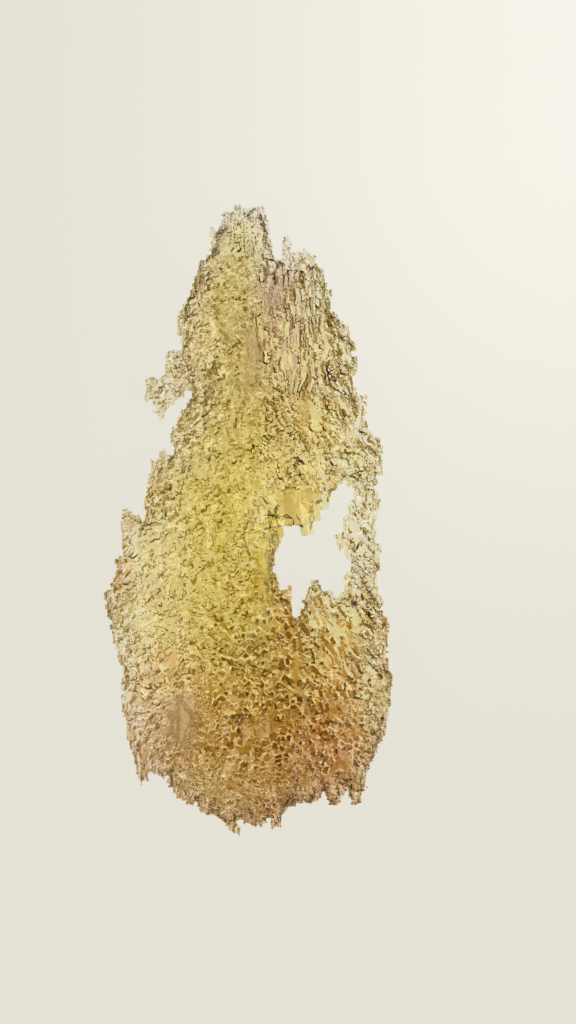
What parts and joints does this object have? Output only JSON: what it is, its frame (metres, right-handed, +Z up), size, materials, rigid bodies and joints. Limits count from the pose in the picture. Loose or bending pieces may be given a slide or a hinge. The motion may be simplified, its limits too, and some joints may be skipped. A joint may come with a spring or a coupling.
{
  "type": "raw barite crystal",
  "caption": "Transparent yellow barite blade, etched all over, with a ragged rim and a window dissolved through it; lies on its flat back.",
  "frame": {"origin": "centre of the blade's bounding box, on the surface that it lies on", "axes": "+Y along the blade towards its pointed tip, +X across it, with the window on the +X side, +Z up out of the deeply etched face"},
  "size_m": [0.0434, 0.0947, 0.0085],
  "materials": {
    "clear_barite": "clear honey yellow, etched to a glassy, finely stepped surface"
  },
  "bodies": {
    "root": {"crystal": "clear_barite"}
  },
  "joints": []
}
